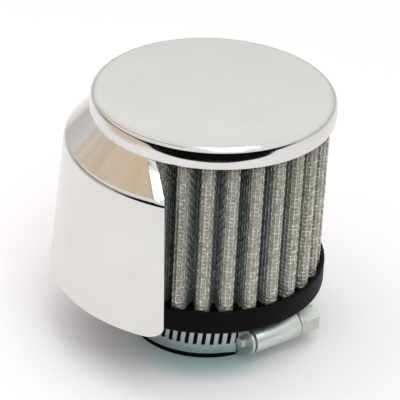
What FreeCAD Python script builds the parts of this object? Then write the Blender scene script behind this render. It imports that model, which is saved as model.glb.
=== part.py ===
import FreeCAD, Part
import math
import os
import re
import Sketcher

# Clamp-on crankcase breather: a pleated wire-gauze element between a chromed cap and a moulded rubber
# base, with a chromed splash shield and a worm-drive clamp on the neck.
# Origin on the axis at the mouth of the neck, +Z up, shield centred on -X.

doc = FreeCAD.newDocument("valve_cover_breather")

# Driving dimensions, in millimetres, degrees or counts
SIZES = {
    "overall_height": 83.1,
    "cap_radius": 38.1,
    "cap_sheet": 0.6,
    "cap_edge_radius": 2.6,
    "skirt_height": 6.8,
    "skirt_hem": 0.25,
    "potting_depth": 5.0,
    "potting_clearance": 0.1,
    "pleat_count": 29,
    "pleat_turn": 2.0,
    "pleat_depth": 9.0,
    "pleat_bend": 2.2,
    "screen_thickness": 0.5,
    "gauze_thickness": 0.8,
    "layer_gap": 0.05,
    "cap_overhang": 0.4,
    "base_rim_wall": 1.25,
    "base_underside": 18.4,
    "base_rim_top": 26.4,
    "base_edge_radius": 3.0,
    "rim_round": 0.5,
    "seat_depth": 2.0,
    "seat_clearance": 0.15,
    "throat_margin": 1.5,
    "neck_radius": 22.95,
    "neck_fillet": 1.5,
    "bore_radius": 19.05,
    "bore_length": 15.8,
    "shield_sheet": 0.7,
    "shield_lip_clearance": 0.08,
    "shield_lip_height": 2.0,
    "shield_crease_radius": 45.6,
    "shield_crease_height": 66.8,
    "shield_foot_radius": 49.1,
    "shield_foot_height": 22.3,
    "shield_bend": 2.4,
    "shield_trim": 26.4,
    "shield_corner": 4.0,
    "clamp_turn": 18.0,
    "band_width": 12.7,
    "band_thickness": 0.6,
    "band_height": 2.2,
    "band_clearance": 0.05,
    "lap_gap": 0.05,
    "lap_start": 20.0,
    "lap_ramp": 9.0,
    "inner_end_gap": 4.0,
    "band_tail": 14.6,
    "slot_pitch": 2.65,
    "slot_width": 1.25,
    "slot_length": 6.3,
    "slot_lean": 6.0,
    "back_slot_count": 27,
    "lap_slot_count": 2,
    "tail_slot_count": 5,
    "housing_start": -4.2,
    "housing_length": 19.0,
    "housing_sheet": 0.8,
    "housing_side_clearance": 0.2,
    "foot_clearance": 0.2,
    "end_slit_width": 0.9,
    "screw_offset": 3.8,
    "worm_radius": 3.5,
    "worm_clearance": 0.3,
    "journal_radius": 2.3,
    "journal_clearance": 0.08,
    "screw_tip_length": 2.3,
    "tip_chamfer": 0.8,
    "collar_radius": 4.5,
    "collar_thickness": 1.2,
    "head_across_flats": 7.9,
    "head_length": 6.4,
    "head_edge_radius": 0.6,
    "driver_slot_width": 1.2,
    "driver_slot_depth": 1.8,
}
sheet = doc.addObject("Spreadsheet::Sheet", "dims")
for row, (alias, value) in enumerate(SIZES.items(), start=1):
    sheet.set(f"A{row}", alias)
    sheet.set(f"B{row}", str(value))
    sheet.setAlias(f"B{row}", alias)
doc.recompute()


def tie(text):
    """The expression with every dimension name pointed at its cell."""
    return re.sub(r"[a-z_]+", lambda word: f"dims.{word[0]}" if word[0] in SIZES else word[0], text)


def size(text):
    """The present value of an expression of dimension names."""
    return float(sheet.evalExpression(tie(text)))


# Places that follow from the driving dimensions
potting_face = "(overall_height - cap_sheet - potting_depth)"
cap_inside = "(cap_radius - cap_sheet)"
base_radius = "(cap_radius - cap_overhang)"
rim_inside = f"({base_radius} - base_rim_wall)"
crest_radius = f"({rim_inside} - seat_clearance)"
pleat_pack = "(2 * screen_thickness + gauze_thickness + 2 * layer_gap)"
pleat_inside = f"({crest_radius} - pleat_depth)"
pleat_seat = "(base_rim_top - seat_depth)"
throat_radius = f"({pleat_inside} - throat_margin)"
lip_outside = f"({cap_inside} - shield_lip_clearance)"
lip_inside = f"({lip_outside} - shield_sheet)"
skirt_bottom = "(overall_height - skirt_height)"
lip_bottom = f"({potting_face} - shield_lip_height)"
band_inside = "(neck_radius + band_clearance)"
lap_inside = f"({band_inside} + band_thickness + lap_gap)"
lap_outside = f"({lap_inside} + band_thickness)"
band_middle = "(band_height + band_width / 2)"
screw_distance = f"({lap_outside} + screw_offset)"
barrel_inside = "(worm_radius + worm_clearance)"
barrel_outside = f"({barrel_inside} + housing_sheet)"
foot_level = "(neck_radius + foot_clearance)"
foot_inside = "(band_width / 2 + housing_side_clearance)"
foot_outside = f"({foot_inside} + housing_sheet)"
hole_radius = "(journal_radius + journal_clearance)"
housing_end = "(housing_start + housing_length)"


def make_body(label, turn="0"):
    """An empty body, turned about the axis by an expression in degrees."""
    body = doc.addObject("PartDesign::Body", label)
    body.Label = label
    body.Placement.Rotation = FreeCAD.Rotation(FreeCAD.Vector(0, 0, 1), size(turn))
    if turn != "0":
        body.setExpression("Placement.Rotation.Angle", tie(f"{turn} * 1 deg"))
    return body


def make_sketch(body, name, plane, offset="0"):
    """A sketch on one of the body's own origin planes, shifted along its normal."""
    sketch = body.newObject("Sketcher::SketchObject", name)
    origin_plane = next(f for f in body.Origin.OriginFeatures if f.Role == plane)
    sketch.AttachmentSupport = [(origin_plane, "")]
    sketch.MapMode = "FlatFace"
    if offset != "0":
        sketch.setExpression("AttachmentOffset.Base.z", tie(offset))
    return sketch


def pin_point(sketch, geometry, point, across, up):
    """Holds a point of the sketch at two distances from the sketch's origin, each an expression."""
    for kind, text, axis in (("DistanceX", across, -2), ("DistanceY", up, -1)):
        value = size(text)
        if abs(value) < 1e-9:
            sketch.addConstraint(Sketcher.Constraint("PointOnObject", geometry, point, axis))
            continue
        ends = (-1, 1, geometry, point) if value > 0 else (geometry, point, -1, 1)
        number = sketch.addConstraint(Sketcher.Constraint(kind, *ends, abs(value)))
        sketch.setExpression(f"Constraints[{number}]", tie(text if value > 0 else f"-({text})"))


def draw_outline(sketch, corners):
    """A closed outline of straight sides, each corner a pair of expressions."""
    places = [FreeCAD.Vector(size(across), size(up), 0) for across, up in corners]
    count = len(places)
    first = sketch.GeometryCount
    for i in range(count):
        sketch.addGeometry(Part.LineSegment(places[i], places[(i + 1) % count]), False)
    for i in range(count):
        following = first + (i + 1) % count
        sketch.addConstraint(Sketcher.Constraint("Coincident", first + i, 2, following, 1))
    for i, (across, up) in enumerate(corners):
        pin_point(sketch, first + i, 1, across, up)


def draw_circle(sketch, across, up, radius):
    """A circle whose centre and radius are expressions."""
    centre = FreeCAD.Vector(size(across), size(up), 0)
    circle = Part.Circle(centre, FreeCAD.Vector(0, 0, 1), size(radius))
    geometry = sketch.addGeometry(circle, False)
    pin_point(sketch, geometry, 3, across, up)
    number = sketch.addConstraint(Sketcher.Constraint("Radius", geometry, size(radius)))
    sketch.setExpression(f"Constraints[{number}]", tie(radius))


def revolve(body, name, corners, plane="XZ_Plane", axis="V_Axis"):
    """A full turn of a straight-sided outline about the sketch's own axis."""
    sketch = make_sketch(body, f"{name}_profile", plane)
    draw_outline(sketch, corners)
    turned = body.newObject("PartDesign::Revolution", name)
    turned.Profile = sketch
    turned.ReferenceAxis = (sketch, [axis])
    turned.Angle = 360.0
    body.Tip = turned
    doc.recompute()
    return turned


def pad(body, name, sketch, length):
    """Material from a sketch, along its normal."""
    padded = body.newObject("PartDesign::Pad", name)
    padded.Profile = sketch
    padded.setExpression("Length", tie(length))
    body.Tip = padded
    doc.recompute()
    return padded


def pocket(body, name, sketch, length):
    """A cut from a sketch, along its normal, which has to take material away."""
    before = body.Shape.Volume
    cut = body.newObject("PartDesign::Pocket", name)
    cut.Profile = sketch
    cut.Reversed = True
    cut.setExpression("Length", tie(length))
    body.Tip = cut
    doc.recompute()
    if not body.Shape.Volume < before:
        raise RuntimeError(f"{name} cuts nothing")
    return cut


def round_edges(body, name, radius, wanted):
    """A fillet on the edges that a test picks out."""
    names = [f"Edge{i}" for i, edge in enumerate(body.Shape.Edges, start=1) if wanted(edge)]
    if not names:
        raise RuntimeError(f"{name} finds no edge")
    solid = body.Tip
    fillet = body.newObject("PartDesign::Fillet", name)
    fillet.Base = (solid, names)
    fillet.setExpression("Radius", tie(radius))
    body.Tip = fillet
    doc.recompute()
    return fillet


def ring_at(radius, height):
    """A test for the circular edge about the axis at one radius and height."""
    def wanted(edge):
        if not isinstance(edge.Curve, Part.Circle):
            return False
        level = edge.Curve.Center.z - size(height)
        return abs(level) < 1e-4 and abs(edge.Curve.Radius - size(radius)) < 1e-4
    return wanted


# Top cap: a stamped steel cup with a rounded edge and a hemmed skirt
cap = make_body("top_cap")
revolve(cap, "cap_stamping", [
    ("0", "overall_height - cap_sheet"),
    (cap_inside, "overall_height - cap_sheet"),
    (cap_inside, skirt_bottom),
    ("cap_radius", skirt_bottom),
    ("cap_radius", "overall_height"),
    ("0", "overall_height"),
])
round_edges(cap, "cap_edge", "cap_edge_radius", ring_at("cap_radius", "overall_height"))
cap_inner_round = "(cap_edge_radius - cap_sheet)"
round_edges(cap, "cap_edge_inside", cap_inner_round, ring_at(cap_inside, "overall_height - cap_sheet"))
round_edges(cap, "cap_hem", "skirt_hem", ring_at("cap_radius", skirt_bottom))

# Cap potting: the resin disc that bonds the pleats and the shield's lip into the cap
potting = make_body("cap_potting")
potting_radius = f"({cap_inside} - potting_clearance)"
revolve(potting, "potting_disc", [
    ("0", potting_face),
    (potting_radius, potting_face),
    (potting_radius, "overall_height - cap_sheet"),
    ("0", "overall_height - cap_sheet"),
])
potting_top = ring_at(potting_radius, "overall_height - cap_sheet")
round_edges(potting, "potting_edge", cap_inner_round, potting_top)


def arc(centre, radius, start, end):
    """An anticlockwise arc between two angles in radians."""
    circle = Part.Circle(FreeCAD.Vector(*centre, 0), FreeCAD.Vector(0, 0, 1), radius)
    while end < start:
        end += 2 * math.pi
    return Part.ArcOfCircle(circle, start, end)


def polar(radius, angle):
    """The point at a radius and an angle in radians."""
    return radius * math.cos(angle), radius * math.sin(angle)


def pleat_outline(inset):
    """One closed zigzag of the folded sheet, at a depth into the pack: round crests and valleys joined by
    the straight lines that touch both."""
    count = round(size("pleat_count"))
    bend = size("pleat_bend")
    crest_bend = bend - inset
    valley_bend = bend - size(pleat_pack) + inset
    crest_centre = size(crest_radius) - bend
    valley_centre = size(pleat_inside) + bend
    half_pitch = math.pi / count
    across = valley_centre * math.sin(half_pitch)
    down = crest_centre - valley_centre * math.cos(half_pitch)
    slope = math.atan2(across, down) - math.asin((crest_bend + valley_bend) / math.hypot(across, down))
    sides = []
    for fold in range(count):
        crest = math.radians(size("pleat_turn")) + fold * 2 * half_pitch
        valley = crest + half_pitch
        following = crest + 2 * half_pitch
        touch = crest + math.pi / 2 - slope
        back_touch = following - math.pi / 2 + slope
        crest_point = polar(crest_centre, crest)
        valley_point = polar(valley_centre, valley)
        next_crest = polar(crest_centre, following)
        crest_arc = arc(crest_point, crest_bend, crest - math.pi / 2 + slope, touch)
        valley_arc = arc(valley_point, valley_bend, back_touch + math.pi, touch + math.pi)
        next_start = arc(next_crest, crest_bend, back_touch, following).StartPoint
        sides += [crest_arc, Part.LineSegment(crest_arc.EndPoint, valley_arc.EndPoint)]
        sides += [valley_arc, Part.LineSegment(valley_arc.StartPoint, next_start)]
    return sides


# Pleated element: gauze folded between two woven wire screens, standing in the base and potted in the cap
layers = {
    "outer_screen": ("0", "screen_thickness"),
    "gauze_media": ("screen_thickness + layer_gap", "gauze_thickness"),
    "inner_screen": ("screen_thickness + gauze_thickness + 2 * layer_gap", "screen_thickness"),
}
elements = []
for label, (inset, thickness) in layers.items():
    layer = make_body(label)
    zigzag = make_sketch(layer, f"{label}_folds", "XY_Plane", pleat_seat)
    zigzag.addGeometry(pleat_outline(size(inset)), False)
    zigzag.addGeometry(pleat_outline(size(f"{inset} + {thickness}")), False)
    pad(layer, f"{label}_sheet", zigzag, f"{potting_face} - {pleat_seat}")
    elements.append(layer)

# Rubber base: one moulding, a rimmed cup that seats the pleats and a plain neck that slips over the tube
base = make_body("rubber_base")
revolve(base, "base_moulding", [
    ("bore_radius", "0"),
    ("neck_radius", "0"),
    ("neck_radius", "base_underside"),
    (base_radius, "base_underside"),
    (base_radius, "base_rim_top"),
    (rim_inside, "base_rim_top"),
    (rim_inside, pleat_seat),
    (throat_radius, pleat_seat),
    ("bore_radius", "bore_length"),
])
round_edges(base, "base_edge", "base_edge_radius", ring_at(base_radius, "base_underside"))
round_edges(base, "base_rim", "rim_round", ring_at(base_radius, "base_rim_top"))
round_edges(base, "neck_root", "neck_fillet", ring_at("neck_radius", "base_underside"))

# Shield: chromed sheet, a sloping shoulder and a flared wall, trimmed straight on both sides, with its lip
# tucked up inside the cap's skirt
shield = make_body("shield")
revolve(shield, "shield_stamping", [
    (lip_inside, potting_face),
    (lip_inside, lip_bottom),
    ("shield_crease_radius - shield_sheet", "shield_crease_height - shield_sheet / 2"),
    ("shield_foot_radius - shield_sheet", "shield_foot_height"),
    ("shield_foot_radius", "shield_foot_height"),
    ("shield_crease_radius", "shield_crease_height"),
    (lip_outside, f"{lip_bottom} + shield_sheet / 2"),
    (lip_outside, potting_face),
])
round_edges(shield, "crease_outside", "shield_bend + shield_sheet",
            ring_at("shield_crease_radius", "shield_crease_height"))
round_edges(shield, "crease_inside", "shield_bend",
            ring_at("shield_crease_radius - shield_sheet", "shield_crease_height - shield_sheet / 2"))
trim = make_sketch(shield, "shield_trim_line", "XY_Plane")
reach = "(2 * shield_foot_radius)"
draw_outline(trim, [
    ("-shield_trim", f"-{reach}"),
    (reach, f"-{reach}"),
    (reach, reach),
    ("-shield_trim", reach),
])
pocket(shield, "shield_trimming", trim, "2 * overall_height")


def corner_cut(side):
    """The waste outside a rounded lower corner, seen along the shield's middle, on one side of it."""
    corner = size("shield_corner")
    foot = size("shield_foot_height")
    edge = math.sqrt(size("shield_foot_radius") ** 2 - size("shield_trim") ** 2)
    centre = (side * (edge - corner), foot + corner)
    start = -math.pi / 2 if side > 0 else math.pi
    round_off = arc(centre, corner, start, start + math.pi / 2)
    below, beside = round_off.StartPoint, round_off.EndPoint
    if side < 0:
        below, beside = beside, below
    outside = FreeCAD.Vector(side * (edge + corner), foot + corner, 0)
    outside_below = FreeCAD.Vector(side * (edge + corner), foot - corner, 0)
    inside_below = FreeCAD.Vector(below.x, foot - corner, 0)
    path = [beside, outside, outside_below, inside_below, below]
    return [round_off] + [Part.LineSegment(p, q) for p, q in zip(path, path[1:])]


corners = make_sketch(shield, "corner_outlines", "YZ_Plane", "-2 * shield_foot_radius")
corners.addGeometry(corner_cut(1) + corner_cut(-1), False)
pocket(shield, "shield_corners", corners, "2 * shield_foot_radius")

# Clamp band: perforated steel strip, once round the neck, up over its own inner end and straight out
# through the housing
band = make_body("clamp_band", "clamp_turn")


def band_path():
    """The strip's plan: the inner lap, a ramp on to the outer lap, and the straight tail. Angles run from the
    point under the housing, which faces -Y."""
    inner = size(band_inside)
    outer = size(lap_inside)
    thickness = size("band_thickness")
    under = -math.pi / 2
    rise = under - math.radians(size("lap_start"))
    risen = rise + math.radians(size("lap_ramp"))
    begin = risen + math.radians(size("inner_end_gap"))
    tail = size("band_tail")
    inner_lap = [arc((0, 0), inner + depth, begin, rise + 2 * math.pi) for depth in (0, thickness)]
    outer_lap = [arc((0, 0), outer + depth, risen, under) for depth in (0, thickness)]
    ends = [FreeCAD.Vector(tail, -outer - depth, 0) for depth in (0, thickness)]
    sides = inner_lap + outer_lap
    for lap_in, lap_out, end in zip(inner_lap, outer_lap, ends):
        sides.append(Part.LineSegment(lap_in.EndPoint, lap_out.StartPoint))
        sides.append(Part.LineSegment(lap_out.EndPoint, end))
    sides.append(Part.LineSegment(inner_lap[0].StartPoint, inner_lap[1].StartPoint))
    sides.append(Part.LineSegment(*ends))
    return sides


strip = make_sketch(band, "band_plan", "XY_Plane", "band_height")
strip.addGeometry(band_path(), False)
pad(band, "band_strip", strip, "band_width")


def slot_outline(name, middle, level):
    """One leaning slot, drawn on a plane square to the radius at a distance from the axis."""
    sketch = make_sketch(band, name, "XZ_Plane", level)
    shift = "(slot_length / 2 * tan(slot_lean * 1 deg))"
    low = f"({band_middle} - slot_length / 2)"
    high = f"({band_middle} + slot_length / 2)"
    draw_outline(sketch, [
        (f"{middle} - slot_width / 2 - {shift}", low),
        (f"{middle} + slot_width / 2 - {shift}", low),
        (f"{middle} + slot_width / 2 + {shift}", high),
        (f"{middle} - slot_width / 2 + {shift}", high),
    ])
    return sketch


def repeat(name, kind, original, settings):
    """A pattern of a cut, which becomes the body's result."""
    pattern = band.newObject(f"PartDesign::{kind}", name)
    pattern.Originals = [original]
    for key, value in settings.items():
        if isinstance(value, str):
            pattern.setExpression(key, tie(value))
        else:
            setattr(pattern, key, value)
    band.Tip = pattern
    doc.recompute()


origin_axis = {f.Role: f for f in band.Origin.OriginFeatures}
slot_step = f"(slot_pitch / {lap_inside} * 180 / pi)"
between_laps = f"({lap_inside} - lap_gap / 2)"
lap_cut = "(2 * band_thickness)"
lap_slot = pocket(band, "lap_slot", slot_outline("lap_slot_outline", "0", between_laps), lap_cut)
repeat("lap_slots", "PolarPattern", lap_slot, {
    "Axis": (origin_axis["Z_Axis"], [""]),
    "Reversed": True,
    "Occurrences": "lap_slot_count",
    "Angle": f"{slot_step} * (lap_slot_count - 1) * 1 deg",
})
tail_outline = slot_outline("tail_slot_outline", "slot_pitch", between_laps)
tail_slot = pocket(band, "tail_slot", tail_outline, lap_cut)
repeat("tail_slots", "LinearPattern", tail_slot, {
    "Direction": (origin_axis["X_Axis"], [""]),
    "Occurrences": "tail_slot_count",
    "Length": "slot_pitch * (tail_slot_count - 1)",
})
back_outline = slot_outline("back_slot_outline", "0", f"-{lap_outside}")
back_slot = pocket(band, "back_slot", back_outline, "3 * band_thickness")
repeat("back_slots", "PolarPattern", back_slot, {
    "Axis": (origin_axis["Z_Axis"], [""]),
    "Occurrences": "back_slot_count",
    "Angle": f"{slot_step} * (back_slot_count - 1) * 1 deg",
})

# Clamp housing: a stamped bridge over the band, with a barrel and two end walls that carry the screw; a slit
# parts the barrel from the end wall at the screw's tip
housing = make_body("clamp_housing", "clamp_turn")


def bridge_section(half_foot, half_shoulder, level, top):
    """The bridge's section across the band: wide feet, shoulders drawn in under the barrel."""
    shoulder = f"({lap_outside} + housing_sheet)"
    return [
        (f"-{level}", f"{band_middle} - {half_foot}"),
        (f"-{level}", f"{band_middle} + {half_foot}"),
        (f"-{shoulder}", f"{band_middle} + {half_foot}"),
        (f"-{top}", f"{band_middle} + {half_shoulder}"),
        (f"-{top}", f"{band_middle} - {half_shoulder}"),
        (f"-{shoulder}", f"{band_middle} - {half_foot}"),
    ]


bridge = make_sketch(housing, "bridge_section", "YZ_Plane", "housing_start")
draw_outline(bridge, bridge_section(foot_outside, barrel_outside, foot_level, screw_distance))
pad(housing, "bridge_block", bridge, "housing_length")
barrel = make_sketch(housing, "barrel_section", "YZ_Plane", "housing_start")
draw_circle(barrel, f"-{screw_distance}", band_middle, barrel_outside)
pad(housing, "barrel_block", barrel, "housing_length")
cavity_start = "(housing_start + housing_sheet)"
cavity_length = "(housing_length - 2 * housing_sheet)"
cavity = make_sketch(housing, "cavity_section", "YZ_Plane", cavity_start)
draw_circle(cavity, f"-{screw_distance}", band_middle, barrel_inside)
pocket(housing, "barrel_cavity", cavity, cavity_length)
passage = make_sketch(housing, "passage_section", "YZ_Plane", "housing_start")
passage_top = f"({lap_outside} + housing_side_clearance)"
draw_outline(passage, [
    ("0", f"{band_middle} - {foot_inside}"),
    ("0", f"{band_middle} + {foot_inside}"),
    (f"-{passage_top}", f"{band_middle} + {foot_inside}"),
    (f"-{passage_top}", f"{band_middle} - {foot_inside}"),
])
pocket(housing, "band_passage", passage, "housing_length")
journals = make_sketch(housing, "journal_holes", "YZ_Plane", "housing_start")
draw_circle(journals, f"-{screw_distance}", band_middle, hole_radius)
pocket(housing, "journal_bores", journals, "housing_length")
slit = make_sketch(housing, "end_slit_outline", "YZ_Plane", cavity_start)
slit_low = f"({lap_outside} + housing_sheet)"
slit_high = f"({screw_distance} + 2 * {barrel_outside})"
draw_outline(slit, [
    (f"-{slit_low}", f"{band_middle} - 2 * {foot_outside}"),
    (f"-{slit_low}", f"{band_middle} + 2 * {foot_outside}"),
    (f"-{slit_high}", f"{band_middle} + 2 * {foot_outside}"),
    (f"-{slit_high}", f"{band_middle} - 2 * {foot_outside}"),
])
pocket(housing, "end_slit", slit, "end_slit_width")

# Clamp screw: a worm between two journals, with a collared, slotted hexagon head
screw = make_body("clamp_screw", "clamp_turn")
worm_start = "(housing_start + housing_sheet + worm_clearance)"
worm_end = f"({housing_end} - housing_sheet - worm_clearance)"
tip_end = "(housing_start - screw_tip_length)"
collar_start = f"({housing_end} + worm_clearance)"
head_start = f"({collar_start} + collar_thickness)"
head_end = f"({head_start} + head_length)"
screw_lathe = [
    (tip_end, "0"),
    (tip_end, "journal_radius - tip_chamfer"),
    (f"{tip_end} + tip_chamfer", "journal_radius"),
    (worm_start, "journal_radius"),
    (worm_start, "worm_radius"),
    (worm_end, "worm_radius"),
    (worm_end, "journal_radius"),
    (collar_start, "journal_radius"),
    (collar_start, "collar_radius"),
    (head_start, "collar_radius"),
    (head_start, "0"),
]
revolve(screw, "screw_turning", screw_lathe, "XY_Plane", "H_Axis")
hexagon = make_sketch(screw, "head_hexagon", "YZ_Plane", head_start)
half_flats = "(head_across_flats / 2)"
half_side = f"({half_flats} / sqrt(3))"
draw_outline(hexagon, [
    (half_flats, f"-{half_side}"),
    (half_flats, half_side),
    ("0", f"2 * {half_side}"),
    (f"-{half_flats}", half_side),
    (f"-{half_flats}", f"-{half_side}"),
    ("0", f"-2 * {half_side}"),
])
pad(screw, "screw_head", hexagon, "head_length")
screw_axis = screw.Placement.Rotation.multVec(FreeCAD.Vector(1, 0, 0))
round_edges(screw, "head_edges", "head_edge_radius", lambda edge: all(
    abs(vertex.Point.dot(screw_axis) - size(head_end)) < 1e-6 for vertex in edge.Vertexes))
driver = make_sketch(screw, "driver_slot_outline", "YZ_Plane", f"{head_end} - driver_slot_depth")
draw_outline(driver, [
    ("driver_slot_width / 2", "-head_across_flats"),
    ("driver_slot_width / 2", "head_across_flats"),
    ("-driver_slot_width / 2", "head_across_flats"),
    ("-driver_slot_width / 2", "-head_across_flats"),
])
pocket(screw, "driver_slot", driver, "2 * driver_slot_depth")
screw_place = FreeCAD.Vector(0, -size(screw_distance), size(band_middle))
screw.Placement.Base = screw.Placement.Rotation.multVec(screw_place)

# Every object computed, every piece a valid solid, then one file for each piece
pieces = [cap, potting, *elements, base, shield, band, housing, screw]
doc.recompute()
for item in doc.Objects:
    if {"Invalid", "Error"} & set(item.State):
        raise RuntimeError(f"{item.Label} failed: {item.State}")
os.makedirs("parts", exist_ok=True)
for piece in pieces:
    shape = piece.Shape
    if shape.isNull() or not shape.isValid() or not shape.Solids:
        raise RuntimeError(f"{piece.Label} has no valid solid")
    shape.exportStep(f"parts/{piece.Label}.step")
    print(piece.Label, len(shape.Solids), round(shape.Volume, 1), shape.BoundBox)
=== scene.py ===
import math

import bmesh
import bpy
import numpy as np
from mathutils import Matrix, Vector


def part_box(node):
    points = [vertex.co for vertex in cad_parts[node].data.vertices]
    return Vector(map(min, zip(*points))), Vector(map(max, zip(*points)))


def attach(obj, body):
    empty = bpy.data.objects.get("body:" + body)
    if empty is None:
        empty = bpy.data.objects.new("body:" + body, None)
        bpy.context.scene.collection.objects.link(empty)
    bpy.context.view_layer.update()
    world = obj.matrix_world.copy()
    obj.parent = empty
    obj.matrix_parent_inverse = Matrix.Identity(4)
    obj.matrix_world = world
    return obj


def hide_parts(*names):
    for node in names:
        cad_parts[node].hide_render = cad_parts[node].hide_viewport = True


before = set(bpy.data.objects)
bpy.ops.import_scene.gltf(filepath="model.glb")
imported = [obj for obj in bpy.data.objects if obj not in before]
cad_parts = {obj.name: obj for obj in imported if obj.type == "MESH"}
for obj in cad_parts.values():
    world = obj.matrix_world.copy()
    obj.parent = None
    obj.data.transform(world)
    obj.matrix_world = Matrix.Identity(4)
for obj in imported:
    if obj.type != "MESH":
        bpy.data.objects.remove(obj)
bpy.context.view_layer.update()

MM = 0.001

# Rubber base: one black moulding, a rimmed cup that holds the feet of the pleats and a plain neck that slips
# over the breather tube. It is moulded round the pleats, with a soft satin skin and rounded edges.
NECK_RADIUS = 22.95
BORE_RADIUS = 19.05
BORE_LENGTH = 15.8
BASE_RADIUS = 37.7
UNDERSIDE = 18.4
RIM_TOP = 26.4
SEAT = 24.4
RIM_INSIDE = 36.45
THROAT_RADIUS = 25.8


def rounded(corners, radii, steps=8):
    """A closed outline with each corner replaced by the arc that touches both of its sides: the arc starts
    and ends radius times the tangent of half the turn away from the corner."""
    corners = np.asarray(corners, float)
    outline = []
    for corner, before, after, radius in zip(corners, np.roll(corners, 1, 0), np.roll(corners, -1, 0), radii):
        if radius == 0:
            outline.append(corner[None])
            continue
        back = (before - corner) / np.linalg.norm(before - corner)
        ahead = (after - corner) / np.linalg.norm(after - corner)
        half = math.acos(np.clip(back @ ahead, -1, 1)) / 2
        middle = (back + ahead) / np.linalg.norm(back + ahead)
        centre = corner + middle * radius / math.sin(half)
        start = corner + back * radius / math.tan(half) - centre
        end = corner + ahead * radius / math.tan(half) - centre
        share = np.linspace(0, 1, steps + 1)[:, None]
        turn = math.pi - 2 * half
        arc = (np.sin((1 - share) * turn) * start + np.sin(share * turn) * end) / math.sin(turn)
        outline.append(centre + arc)
    return np.concatenate(outline)


def grid_quads(rows, columns, wrap_rows=False, wrap_columns=False):
    """The four-sided faces of a grid of points numbered row by row, closed on itself where asked."""
    row = np.arange(rows if wrap_rows else rows - 1)[:, None]
    column = np.arange(columns if wrap_columns else columns - 1)[None, :]
    next_row = (row + 1) % rows
    next_column = (column + 1) % columns
    faces = np.stack([row * columns + column, row * columns + next_column,
                      next_row * columns + next_column, next_row * columns + column], axis=-1)
    return faces.reshape(-1, 4)


def spin(outline, sides=192):
    """Points and faces of an outline of radius and height carried once round the axis."""
    angle = np.linspace(0, 2 * math.pi, sides, endpoint=False)[:, None]
    radius, height = outline[None, :, 0], outline[None, :, 1]
    points = np.stack([radius * np.cos(angle), radius * np.sin(angle), height + 0 * angle], axis=-1)
    return points.reshape(-1, 3), grid_quads(sides, len(outline), True, True)


def add_piece(name, points, quads, material, body, slot, *nodes, sharp=40):
    """A mesh object from points in millimetres and faces, with doubles merged and faces turned outwards, that
    rides on a body, takes the given material and hides the named solids that it stands for. The slot is
    not used."""
    mesh = bpy.data.meshes.new(name)
    mesh.vertices.add(len(points))
    mesh.vertices.foreach_set("co", (np.asarray(points, float) * MM).ravel())
    mesh.loops.add(quads.size)
    mesh.loops.foreach_set("vertex_index", quads.ravel().astype(np.int32))
    mesh.polygons.add(len(quads))
    mesh.polygons.foreach_set("loop_start", np.arange(0, quads.size, quads.shape[1], dtype=np.int32))
    mesh.update(calc_edges=True)
    work = bmesh.new()
    work.from_mesh(mesh)
    bmesh.ops.remove_doubles(work, verts=work.verts, dist=1e-7)
    bmesh.ops.recalc_face_normals(work, faces=work.faces)
    work.to_mesh(mesh)
    work.free()
    mesh.shade_smooth()
    mesh.set_sharp_from_angle(angle=math.radians(sharp))
    mesh.materials.append(material)
    piece = bpy.data.objects.new(name, mesh)
    bpy.context.scene.collection.objects.link(piece)
    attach(piece, body)
    if nodes:
        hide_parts(*nodes)
    return piece


def colour(text):
    """Linear colour, with alpha, from an sRGB hex value."""
    channels = np.array([int(text[i:i + 2], 16) for i in (1, 3, 5)]) / 255
    linear = np.where(channels <= 0.04045, channels / 12.92, ((channels + 0.055) / 1.055) ** 2.4)
    return (*linear, 1.0)


def node(tree, kind, inputs=(), **settings):
    """One shader node with its settings; each input is a value, or a socket that is linked to it."""
    made = tree.nodes.new(kind)
    for key, value in settings.items():
        setattr(made, key, value)
    for key, value in dict(inputs).items():
        if isinstance(value, bpy.types.NodeSocket):
            tree.links.new(value, made.inputs[key])
        else:
            made.inputs[key].default_value = value
    return made


def finish_of(name, **constants):
    """A new material, its node tree, its surface shader with constant values set, and object coordinates."""
    material = bpy.data.materials.new(name)
    material.use_nodes = True
    tree = material.node_tree
    shader = tree.nodes["Principled BSDF"]
    for key, value in constants.items():
        shader.inputs[key.replace("_", " ")].default_value = value
    place = node(tree, "ShaderNodeTexCoord").outputs["Object"]
    return material, tree, shader, place


def ramp(tree, value, low, high):
    """A colour between two, or a number between two, as a value goes from 0 to 1."""
    if isinstance(low, tuple):
        mixed = node(tree, "ShaderNodeMix", {"Factor": value}, data_type="RGBA")
        mixed.inputs["A"].default_value = low
        mixed.inputs["B"].default_value = high
        return mixed.outputs["Result"]
    return node(tree, "ShaderNodeMapRange", {"Value": value, "To Min": low, "To Max": high}).outputs["Result"]


# Moulded nitrile rubber: a fine even grain from the mould, and a thin warm bloom over the black.
rubber, tree, shader, place = finish_of("moulded_nitrile_rubber", IOR=1.5, Specular_IOR_Level=0.09)
GRAIN_MM = 0.35
BLOOM_MM = 14
grain = node(tree, "ShaderNodeTexNoise", {"Vector": place, "Scale": 1 / (GRAIN_MM * MM), "Detail": 3.0})
bloom = node(tree, "ShaderNodeTexNoise", {"Vector": place, "Scale": 1 / (BLOOM_MM * MM), "Detail": 5.0})
black = ramp(tree, bloom.outputs["Fac"], colour("#030202"), colour("#080505"))
tree.links.new(black, shader.inputs["Base Color"])
tree.links.new(ramp(tree, bloom.outputs["Fac"], 0.42, 0.62), shader.inputs["Roughness"])
bump = node(tree, "ShaderNodeBump", {"Height": grain.outputs["Fac"], "Strength": 0.25, "Distance": 0.05 * MM})
tree.links.new(bump.outputs["Normal"], shader.inputs["Normal"])

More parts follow.
